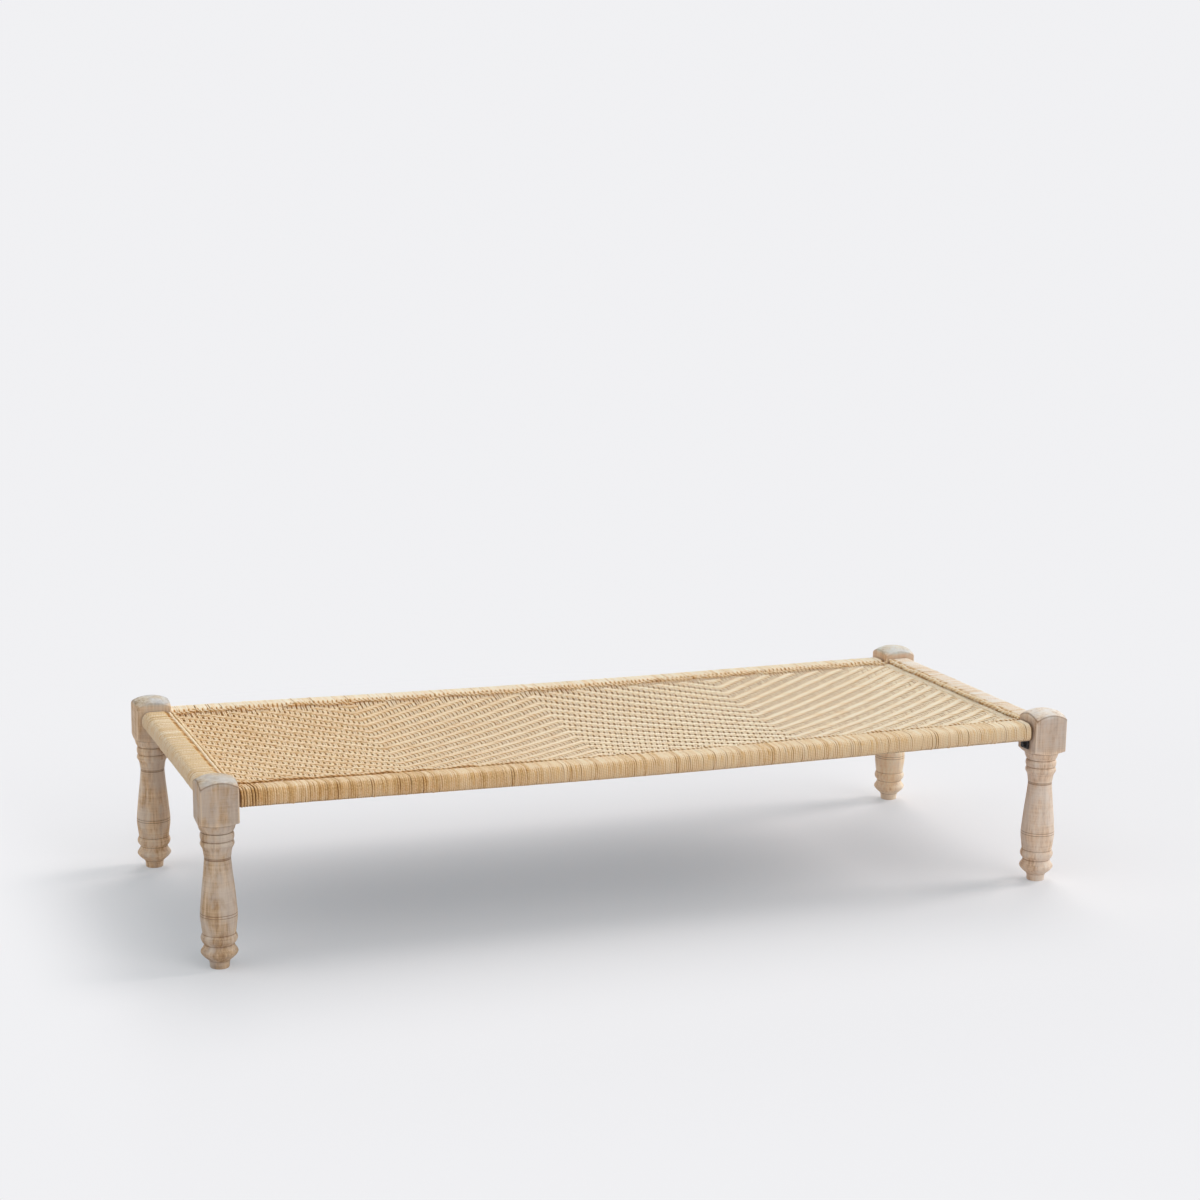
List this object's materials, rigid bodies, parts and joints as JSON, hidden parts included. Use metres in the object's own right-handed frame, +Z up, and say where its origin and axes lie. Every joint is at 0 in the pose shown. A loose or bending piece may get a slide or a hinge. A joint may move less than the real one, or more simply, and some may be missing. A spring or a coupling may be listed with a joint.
{
  "type": "charpai",
  "caption": "Low woven daybed: turned wooden legs with square heads, rails closely wrapped in cord and a chevron twill bed of natural cord.",
  "frame": {"origin": "on the floor under the middle of the bed", "axes": "+X along the bed's length, +Y from its front to its back, +Z up"},
  "size_m": [1.9, 0.784, 0.387],
  "materials": {
    "leg_wood": "matte, limed",
    "rail_wood": "matte, sawn",
    "cord": "matte twisted natural cord",
    "blackened_steel": "satin black"
  },
  "bodies": {
    "root": {"leg_front_left": "leg_wood", "leg_front_right": "leg_wood", "leg_back_left": "leg_wood", "leg_back_right": "leg_wood", "front_rail": "rail_wood", "back_rail": "rail_wood", "left_rail": "rail_wood", "right_rail": "rail_wood", "front_rail_wrap": "cord", "back_rail_wrap": "cord", "left_rail_wrap": "cord", "right_rail_wrap": "cord", "front_edge_cord": "cord", "back_edge_cord": "cord", "left_edge_cord": "cord", "right_edge_cord": "cord", "left_heading_cord": "cord", "right_heading_cord": "cord", "woven_bed": "cord", "bracket_front_left": "blackened_steel", "bracket_front_right": "blackened_steel", "bracket_back_left": "blackened_steel", "bracket_back_right": "blackened_steel", "bracket_bolt_front_left": "blackened_steel", "bracket_bolt_front_right": "blackened_steel", "bracket_bolt_back_left": "blackened_steel", "bracket_bolt_back_right": "blackened_steel", "bracket_screw_front_left_1": "blackened_steel", "bracket_screw_front_left_2": "blackened_steel", "bracket_screw_front_right_1": "blackened_steel", "bracket_screw_front_right_2": "blackened_steel", "bracket_screw_back_left_1": "blackened_steel", "bracket_screw_back_left_2": "blackened_steel", "bracket_screw_back_right_1": "blackened_steel", "bracket_screw_back_right_2": "blackened_steel"}
  },
  "joints": []
}
